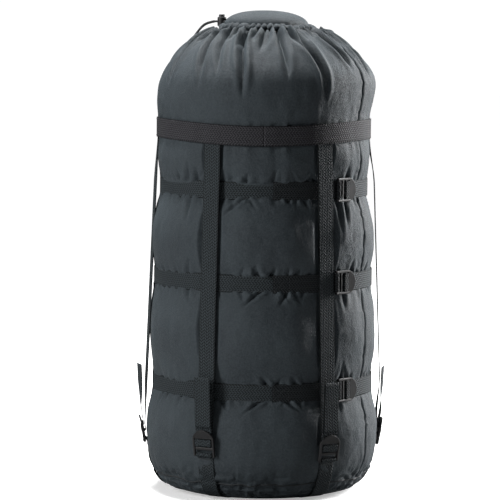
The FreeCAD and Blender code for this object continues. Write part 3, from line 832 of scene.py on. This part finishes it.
def build_horizontal_straps():
    """The long webs round the sack, and the free ends that lie on them."""
    for seed, name in enumerate(RINGS, start=40):
        body, height = RING_BODY[name], ring_height[name]
        inner = ring_cloth[name] + LAYER_GAP + WEB / 2
        outer = inner + WEB + LAYER_GAP
        first, last = arc_of(f"cinch_web_{name}")
        strip = round_strip(np.arange(first - 0.02, last, STRIP_STEP), inner, height, RING_WAVE, seed)
        webbing(f"girth_web_{name}", *strip, body, "webbing", f"cinch_web_{name}")
        first, last = arc_of(f"cinch_end_{name}")
        strip = round_strip(np.arange(first - 0.07, last, STRIP_STEP), outer, height, RING_WAVE, seed + 10)
        webbing(f"girth_end_{name}", *strip, body, "webbing", f"cinch_end_{name}", width=END_WIDTH)


# The side straps stand off the cloth and turn their faces a little to the front, between two heights
STRAP_SLACK = {"right": 6.5 * MM, "left": 1.0 * MM}
STRAP_TWIST = {"right": radians(-7), "left": radians(7)}
LOOSE_FROM, LOOSE_TO = 0.100, 0.505
# The anchor webs: radius and height in mm under the base, and heights above the seam
ANCHOR_UNDER = [(112, 1.0), (121, 2.2), (136.5, 6.2), (145, 12), (149.8, 18)]
ANCHOR_LEVELS = [seam_height - 2 * MM, seam_height + 2 * MM, 0.034, 0.040, 0.047]


def pivot_bar(name):
    """Distance from the axis and height of the pivot bar of a vertical strap's lock."""
    x, y, z = joints[f"lock_{name}_tilt"]["pos_m"]
    return hypot(x, y), z


def anchor_radii(name, heights):
    """Distance of a bottom web's middle from the axis, between the seam and the pivot bar."""
    profile = ribbon_profile("anchor_webs", strap_angle[name])[::-1]
    radii = np.interp(heights, profile[:, 1], profile[:, 0])
    below_bar = pivot_bar(name)[1] - heights
    return radii + foot_bulge(heights) * np.clip(below_bar / (25 * MM), 0, 1)


def build_anchor_webs():
    """The short webs from under the base, over the seam and round the pivot bar of each lock."""
    under = np.array(ANCHOR_UNDER) * MM
    for name in STRAPS:
        radius, height = pivot_bar(name)
        upright = np.append(ANCHOR_LEVELS, height - 8 * MM)
        turns = np.radians(np.linspace(180, -115, 9))
        loop = 2.7 * MM * np.stack([np.cos(turns), np.sin(turns)], axis=1) + (radius, height)
        path = np.concatenate([under, np.stack([anchor_radii(name, upright), upright], axis=1), loop])
        centre = smooth_curve(path, 2.0 * MM)
        nodes = ["anchor_webs"] if name == STRAPS[0] else []
        strip = strip_both_ways(centre, strap_angle[name])
        webbing(f"anchor_web_{name}", *strip, "sack", "webbing", *nodes)


def strip_both_ways(line, angle):
    """As upright_strip, for a line that may turn back on itself."""
    centre = np.array([at_angle(angle, r, z) for r, z in line])
    slope = unit(np.gradient(line, axis=0))
    out = np.array([at_angle(angle, z, -r) for r, z in slope])
    across = np.tile(at_angle(angle, 0, 0, 1.0), (len(line), 1))
    return centre, across, out


def build_vertical_straps():
    """The long webs from the band to the locks, and the free ends."""
    for seed, name in enumerate(STRAPS, start=60):
        angle = strap_angle[name]
        line = resampled(ribbon_profile(f"strap_{name}", angle), 5 * MM)
        above, below = (line[:, 1] - LOOSE_FROM) / (60 * MM), (LOOSE_TO - line[:, 1]) / (70 * MM)
        loose = smooth_step(above) * smooth_step(below)
        line[:, 0] += STRAP_SLACK.get(name, 0) * loose
        strip = upright_strip(line, angle, seed, twist=STRAP_TWIST.get(name, 0) * loose)
        piece = webbing(f"long_web_{name}", *strip, "sack", "webbing", f"strap_{name}")
        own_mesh(piece)
        line = resampled(ribbon_profile(f"strap_end_{name}", angle), 4 * MM)
        free = smooth_step((line[:, 1] - line[-1, 1]) / (50 * MM))
        twist = 2.0 * STRAP_TWIST.get(name, 0) * free
        strip = upright_strip(line, angle, seed + 20, 1.0 * MM, twist)
        webbing(f"loose_end_{name}", *strip, f"end_{name}", "webbing", f"strap_end_{name}",
                width=END_WIDTH, thick=1.3 * MM)


def build_band():
    """The band round the top, slightly wavy, with puckered edges."""
    angles = np.arange(0, 2 * pi + 0.001, 2 * pi / 420)
    radius = band_outer - WEB / 2
    centre, across, out = round_strip(angles, radius, (band_low + band_high) / 2, 0.0, 50)
    swell = 0.5 * MM * noise_ring(angles, 14 * MM, 51)
    centre = sag(centre + out * swell[:, None])
    centre[-1] = centre[0]
    webbing("band", centre, across, out, "top", "band", "top_band", width=band_high - band_low)


# ---------------------------------------------------------------- stitches

def stitches(name, rows, body, stitch=2.9 * MM, gap=1.1 * MM):
    """Raised thread dashes. Each row is a line of points with its outward directions."""
    thin, high = 0.32 * MM, 0.30 * MM
    points, faces = [], []
    for line, outward in rows:
        lengths = lengths_along(line)
        for start in np.arange(0, lengths[-1] - stitch, stitch + gap):
            places = start + np.array([0, 0.15, 0.5, 0.85, 1]) * stitch
            middle, out = at_lengths(places, lengths, line), at_lengths(places, lengths, outward)
            side = unit(np.cross(out, middle[-1] - middle[0]))
            lift = np.array([-0.4, 0.6, 1, 0.6, -0.4])[:, None] * high
            wide = np.array([0.3, 1, 1, 1, 0.3])[:, None] * thin
            base = len(points)
            ring = [middle - side * wide - out * high, middle + out * lift,
                    middle + side * wide - out * high]
            points += np.stack(ring, axis=1).reshape(-1, 3).tolist()
            for k in range(4):
                a, b = base + 3 * k, base + 3 * k + 3
                faces += [[a, a + 1, b + 1, b], [a + 1, a + 2, b + 2, b + 1]]
    finish_piece(new_object(name, points, faces), body, "thread")


def round_row(radius, height, first, last):
    """A row of points that runs round the sack, with its outward directions."""
    angles = np.arange(first, last, 0.008)
    line = sag(np.array([at_angle(a, radius, height) for a in angles]))
    return line, np.array([at_angle(a, 1, 0) for a in angles])


def slanted_row(radius, start, end):
    """A straight row on the sack between two (angle, height) places."""
    places = np.linspace(start, end, 12)
    line = np.array([at_angle(a, radius, z) for a, z in places])
    return line, np.array([at_angle(a, 1, 0) for a, _ in places])


def build_stitches():
    """Rows along the band and the horizontal webs, boxes on the anchors and tacks at the loops."""
    edge = 2.2 * MM
    proud = 0.1 * MM
    rows = [round_row(band_outer + proud, z, 0, 2 * pi) for z in (band_low + edge, band_high - edge)]
    stitches("stitches_band", rows, "top")
    for name in RINGS:
        body, height = RING_BODY[name], ring_height[name]
        web = ring_cloth[name] + LAYER_GAP + WEB + proud
        web_end = arc_of(f"cinch_web_{name}")[1]
        half = WEB_WIDTH / 2 - edge
        anchor = half_width(f"cinch_web_{name}") + LAYER_GAP + WEB + proud
        anchor_start = arc_of(f"cinch_anchor_{name}")[0]
        left, right = anchor_start + 0.015, anchor_start + 0.15
        low, high = height - half, height + half
        rows = [round_row(web, height + side * half, web_end - 0.9, web_end) for side in (-1, 1)]
        sides = [((left, low), (right, low)), ((left, high), (right, high)),
                 ((left, low), (left, high)), ((right, low), (right, high))]
        crossing = [((left, low), (right, high)), ((left, high), (right, low))]
        rows += [slanted_row(anchor, start, end) for start, end in sides + crossing]
        stitches(f"stitches_girth_{name}", rows, body)
    rows = []
    for name in STRAPS:
        angle = strap_angle[name]
        for drop in (6, 7.5, 16, 17.5):
            height = pivot_bar(name)[1] - drop * MM
            radius = anchor_radii(name, height) + WEB / 2 + proud
            places = np.linspace(-10.5, 10.5, 9) * MM
            line = np.array([at_angle(angle, radius, height, x) for x in places])
            rows.append((line, np.tile(at_angle(angle, 1, 0), (len(places), 1))))
    stitches("stitches_anchors", rows, "sack", stitch=2.0 * MM, gap=0.4 * MM)


# ---------------------------------------------------------------- materials

CLOTH_DARK, CLOTH_LIGHT = (0.025, 0.032, 0.038), (0.039, 0.050, 0.057)
CLOTH_FLECK = (0.071, 0.085, 0.094)
WEB_DARK, WEB_LIGHT = (0.004, 0.006, 0.007), (0.040, 0.050, 0.056)
# Painted shade: the cinch anchors get a darker copy of the webbing colours, standing in for the shade they lie in.
SHADED_ANCHOR_DARK, SHADED_ANCHOR_LIGHT = (0.003, 0.004, 0.005), (0.018, 0.022, 0.025)
BAND_DARK, BAND_LIGHT = (0.006, 0.006, 0.008), (0.050, 0.049, 0.055)
CORD_BASE, CORD_DARK, CORD_LIGHT = (0.012, 0.013, 0.014), (0.008, 0.009, 0.010), (0.045, 0.047, 0.050)
FLOOR_WHITE, FLOOR_BOUNCE = (0.92, 0.92, 0.92), (0.25, 0.25, 0.25)


def principled(name, colour, roughness):
    """A new material, short forms for its node tree, and its shader."""
    material = bpy.data.materials.new(name)
    material.use_nodes = True
    tree = material.node_tree
    shader = tree.nodes["Principled BSDF"]
    t = Tree(tree)
    t.feed(shader, Base_Color=(*colour, 1), Roughness=roughness)
    return material, t, shader


class Tree:
    """Short forms for building a node tree."""

    def __init__(self, tree):
        self.tree = tree

    def node(self, kind, **settings):
        made = self.tree.nodes.new(kind)
        for key, value in settings.items():
            setattr(made, key, value)
        return made

    def link(self, source, target):
        self.tree.links.new(source, target)

    def feed(self, node, **inputs):
        """Gives a node's inputs their values or links; an underscore stands for a space."""
        for name, value in inputs.items():
            socket = node.inputs[name.replace("_", " ")]
            if isinstance(value, (int, float, tuple)):
                socket.default_value = value
            else:
                self.link(value, socket)
        return node

    def place(self):
        """The shaded point in the frame of its object."""
        return self.node("ShaderNodeTexCoord").outputs["Object"]

    def split(self, vector):
        """The three parts of a vector."""
        parts = self.feed(self.node("ShaderNodeSeparateXYZ"), Vector=vector)
        return [parts.outputs[k] for k in "XYZ"]

    def weave(self):
        """Distance along and across a strip or cord at the shaded point."""
        return self.split(self.node("ShaderNodeUVMap", uv_map="weave").outputs["UV"])[:2]

    def math(self, operation, *values):
        made = self.node("ShaderNodeMath", operation=operation)
        for socket, value in zip(made.inputs, values):
            if isinstance(value, (int, float)):
                socket.default_value = value
            else:
                self.link(value, socket)
        return made.outputs[0]

    def times(self, a, b):
        return self.math("MULTIPLY", a, b)

    def plus(self, a, b):
        return self.math("ADD", a, b)

    def noise(self, vector, scale, detail=2.0, rough=0.5):
        made = self.node("ShaderNodeTexNoise")
        self.feed(made, Scale=scale, Detail=detail, Roughness=rough, Vector=vector)
        return made.outputs["Fac"]

    def mix_colour(self, share, first, second):
        made = self.node("ShaderNodeMix", data_type="RGBA")
        self.link(share, made.inputs["Factor"])
        for name, value in (("A", first), ("B", second)):
            socket = [s for s in made.inputs if s.name == name and s.type == "RGBA"][0]
            if isinstance(value, tuple):
                socket.default_value = (*value, 1)
            else:
                self.link(value, socket)
        return [s for s in made.outputs if s.type == "RGBA"][0]

    def ramp(self, value, low, high):
        made = self.node("ShaderNodeMapRange")
        self.feed(made, From_Min=low, From_Max=high, Value=value)
        return made.outputs["Result"]

    def bump(self, height, distance, strength=1.0, after=None):
        made = self.node("ShaderNodeBump")
        self.feed(made, Distance=distance, Strength=strength, Height=height)
        if after is not None:
            self.link(after, made.inputs["Normal"])
        return made.outputs["Normal"]


def shell_cloth_material():
    """Coated nylon: a fine plain weave, faint crinkles, cloudy wear and a soft sheen."""
    material, t, shader = principled("shell_cloth", CLOTH_DARK, 0.6)
    place = t.place()
    cloudy = t.ramp(t.noise(place, 14, 4, 0.6), 0.35, 0.7)
    grain = t.ramp(t.noise(place, 380, 3, 0.65), 0.3, 0.75)
    base = t.mix_colour(cloudy, CLOTH_DARK, CLOTH_LIGHT)
    speckle = t.times(grain, 0.45)
    rough = t.plus(t.times(cloudy, 0.10), 0.56)
    t.feed(shader, Base_Color=t.mix_colour(speckle, base, CLOTH_FLECK), Roughness=rough,
           Specular_IOR_Level=0.18, Sheen_Weight=0.04, Sheen_Roughness=0.4,
           Sheen_Tint=(0.75, 0.85, 0.9, 1))
    crinkle = t.bump(t.noise(place, 75, 6, 0.7), 0.0022, 0.55)
    weave = t.times(*(cylinder_wave(t, way, 0.9 * MM) for way in ("across", "up")))
    threads = t.bump(weave, 0.0002, 0.5, crinkle)
    t.feed(shader, Normal=t.bump(grain, 0.0004, 0.5, threads))
    return material


def cylinder_place(t):
    """Distance round the sack and height of the shaded point."""
    x, y, z = t.split(t.place())
    turn = t.math("ARCTAN2", x, t.times(y, -1.0))
    return t.times(turn, 155 * MM), z


def cylinder_wave(t, way, pitch):
    """A sine wave round the sack or up it."""
    around, up = cylinder_place(t)
    return t.math("SINE", t.times(around if way == "across" else up, 2 * pi / pitch))


def webbing_material(name, colour, light, mapping="strip", width=WEB_WIDTH):
    """Ribbed nylon webbing: slanting picks that meet in chevrons, and fine cords along the strip.

    A strip made here is mapped by its own length and width. A CAD node lies upright or round the
    sack, and is mapped by height and distance round it.
    """
    material, t, shader = principled(name, colour, 0.72)
    if mapping == "strip":
        along, across = t.weave()
    else:
        around, up = cylinder_place(t)
        along, across = (up, around) if mapping == "upright" else (around, up)
    pick, cord, chevron = 4.2 * MM, 2.8 * MM, 4.2 * MM
    zigzag = t.math("PINGPONG", across, chevron)
    picks = t.math("SINE", t.times(t.plus(along, zigzag), 2 * pi / pick))
    cords = t.math("SINE", t.times(across, 2 * pi / cord))
    relief = t.plus(t.times(picks, 0.30), t.times(cords, 0.20))
    relief = t.plus(relief, 0.5)
    grain = t.noise(t.place(), 520, 3, 0.65)
    share = t.plus(t.times(relief, 0.75), t.times(grain, 0.5))
    # Painted shade: both long edges of a strip made here are darkened, standing in for the shadow along its raised
    # edges.
    if mapping == "strip":
        painted_edge_shade = t.ramp(t.math("ABSOLUTE", across), 0.43 * width, 0.47 * width)
        share = t.math("SUBTRACT", share, t.times(painted_edge_shade, 0.35))
    fine = t.bump(relief, 0.0009, 0.9)
    t.feed(shader, Base_Color=t.mix_colour(t.ramp(share, 0.34, 0.90), colour, light),
           Normal=t.bump(grain, 0.0004, 0.6, fine), Specular_IOR_Level=0.2)
    return material


def plain_cloth_material(name, colour, light, scale):
    """Tape or thread with a fine woven grain."""
    material, t, shader = principled(name, colour, 0.75)
    grain = t.noise(t.place(), scale, 3, 0.6)
    t.feed(shader, Base_Color=t.mix_colour(t.ramp(grain, 0.35, 0.7), colour, light),
           Normal=t.bump(grain, 0.0006, 0.6))
    return material


def cord_material():
    """Braided cord: two sets of strands that cross on a slant."""
    material, t, shader = principled("cord", CORD_BASE, 0.65)
    along, across = t.weave()
    pitch = 2 * pi / (1.9 * MM)
    one = t.math("SINE", t.times(t.plus(along, across), pitch))
    other = t.math("SINE", t.times(t.math("SUBTRACT", along, across), pitch))
    braid = t.math("MAXIMUM", one, other)
    t.feed(shader, Base_Color=t.mix_colour(t.ramp(braid, -0.4, 1.0), CORD_DARK, CORD_LIGHT),
           Normal=t.bump(braid, 0.0004, 0.9))
    return material


def plastic_material(name):
    """Moulded acetal: black, with glossy edges and a faint texture from the mould."""
    material, t, shader = principled(name, (0.006, 0.006, 0.007), 0.36)
    place = t.place()
    t.feed(shader, Roughness=t.ramp(t.noise(place, 60, 3), -1.2, 1.6),
           Normal=t.bump(t.noise(place, 1500, 2), 0.0001, 0.5),
           Coat_Weight=0.12, Coat_Roughness=0.18, Specular_IOR_Level=0.4)
    return material


def steel_material():
    """Bright spring wire."""
    material, t, shader = principled("spring", (0.55, 0.55, 0.56), 0.3)
    t.feed(shader, Metallic=1)
    return material


materials = {
    "shell_cloth": shell_cloth_material(),
    "webbing": webbing_material("webbing", WEB_DARK, WEB_LIGHT),
    "webbing_upright": webbing_material("webbing_upright", WEB_DARK, WEB_LIGHT, "upright"),
    "webbing_round": webbing_material("webbing_round", SHADED_ANCHOR_DARK, SHADED_ANCHOR_LIGHT, "round"),
    "band": webbing_material("band", BAND_DARK, BAND_LIGHT, width=band_high - band_low),
    "binding": plain_cloth_material("binding", (0.008, 0.010, 0.012), (0.024, 0.029, 0.033), 700),
    "thread": plain_cloth_material("thread", (0.020, 0.022, 0.024), (0.060, 0.064, 0.068), 1500),
    "cord": cord_material(),
    "buckle_plastic": plastic_material("buckle_plastic"),
    "cord_lock_plastic": plastic_material("cord_lock_plastic"),
    "spring": steel_material(),
}


def paint_cad_nodes():
    """Materials for the nodes that are shown as they are."""
    slots = {entry["node"]: entry["material_slot"] for entry in frame["record"]["subparts"]}
    for name, node in frame["nodes"].items():
        slot = slots[name]
        if slot == "webbing":
            # The cinch nodes get the darker webbing copy, which carries painted shade.
            slot = "webbing_round" if name.startswith("cinch_") else "webbing_upright"
        node.data.materials.clear()
        node.data.materials.append(materials[slot])


# ---------------------------------------------------------------- stage, light and camera

FILL = 0.03        # strength of the even light from all round


def build_stage():
    """A pale floor that fades into the white of the surroundings with distance."""
    size = 30.0
    corners = [(-size, -size, 0), (size, -size, 0), (size, size, 0), (-size, size, 0)]
    floor = new_object("floor", corners, [(0, 1, 2, 3)])
    material, t, shader = principled("floor_white", FLOOR_WHITE, 0.9)
    x, y, _ = t.split(t.place())
    away = t.math("SQRT", t.plus(t.times(x, x), t.times(y, y)))
    seen = t.node("ShaderNodeLightPath").outputs["Is Camera Ray"]
    glow = t.plus(t.times(t.ramp(away, 0.15, 1.1), 0.62), 0.38)
    t.feed(shader, Base_Color=t.mix_colour(seen, FLOOR_BOUNCE, FLOOR_WHITE), Emission_Color=(1, 1, 1, 1),
           Emission_Strength=t.times(seen, glow))
    floor.data.materials.append(material)


def area_light(name, place, size, power, aim=(0, 0, 0.35)):
    light = bpy.data.lights.new(name, "AREA")
    light.shape = "RECTANGLE"
    light.size, light.size_y = size
    light.energy = power
    obj = bpy.data.objects.new(name, light)
    obj.location = place
    obj.rotation_euler = (Vector(aim) - Vector(place)).to_track_quat("-Z", "Y").to_euler()
    bpy.context.scene.collection.objects.link(obj)


def build_light():
    """White surroundings for the camera, and softer, darker ones for the light on the sack."""
    world = bpy.data.worlds.new("studio")
    world.use_nodes = True
    t = Tree(world.node_tree)
    seen = t.node("ShaderNodeLightPath").outputs["Is Camera Ray"]
    strength = t.plus(t.times(seen, 1.05 - FILL), FILL)
    t.feed(world.node_tree.nodes["Background"], Color=(1, 1, 1, 1), Strength=strength)
    bpy.context.scene.world = world
    area_light("left_softbox", (-2.12, -1.22, 1.1), (0.6, 1.7), 55)
    area_light("right_softbox", (2.12, 1.20, 1.1), (0.6, 1.7), 158)
    area_light("top_softbox", (-0.3, 0.6, 2.9), (1.2, 1.2), 165, aim=(0, 0, 0.5))


def build_camera():
    """Straight on from the front, a little above, with the sack leaning half a degree in view."""
    distance, elevation, roll = 3.8, radians(4.5), radians(0.5)
    view_width = 0.715
    aim = Vector((-0.018, 0, 0.340))
    place = aim + distance * Vector((0, -cos(elevation), sin(elevation)))
    camera = bpy.data.cameras.new("camera")
    camera.sensor_width = 36
    camera.lens = 36 * distance / view_width
    obj = bpy.data.objects.new("camera", camera)
    turn = (aim - place).to_track_quat("-Z", "Y").to_matrix().to_4x4()
    obj.matrix_world = Matrix.Translation(place) @ turn @ Matrix.Rotation(roll, 4, "Z")
    bpy.context.scene.collection.objects.link(obj)
    bpy.context.scene.camera = obj


paint_cad_nodes()
build_cloth()
build_bottom()
build_mouth_hem()
build_flap()
build_drawcord()
build_band()
build_horizontal_straps()
build_vertical_straps()
build_anchor_webs()
build_stitches()
build_stage()
build_light()
build_camera()
bpy.context.scene.view_settings.view_transform = "Standard"
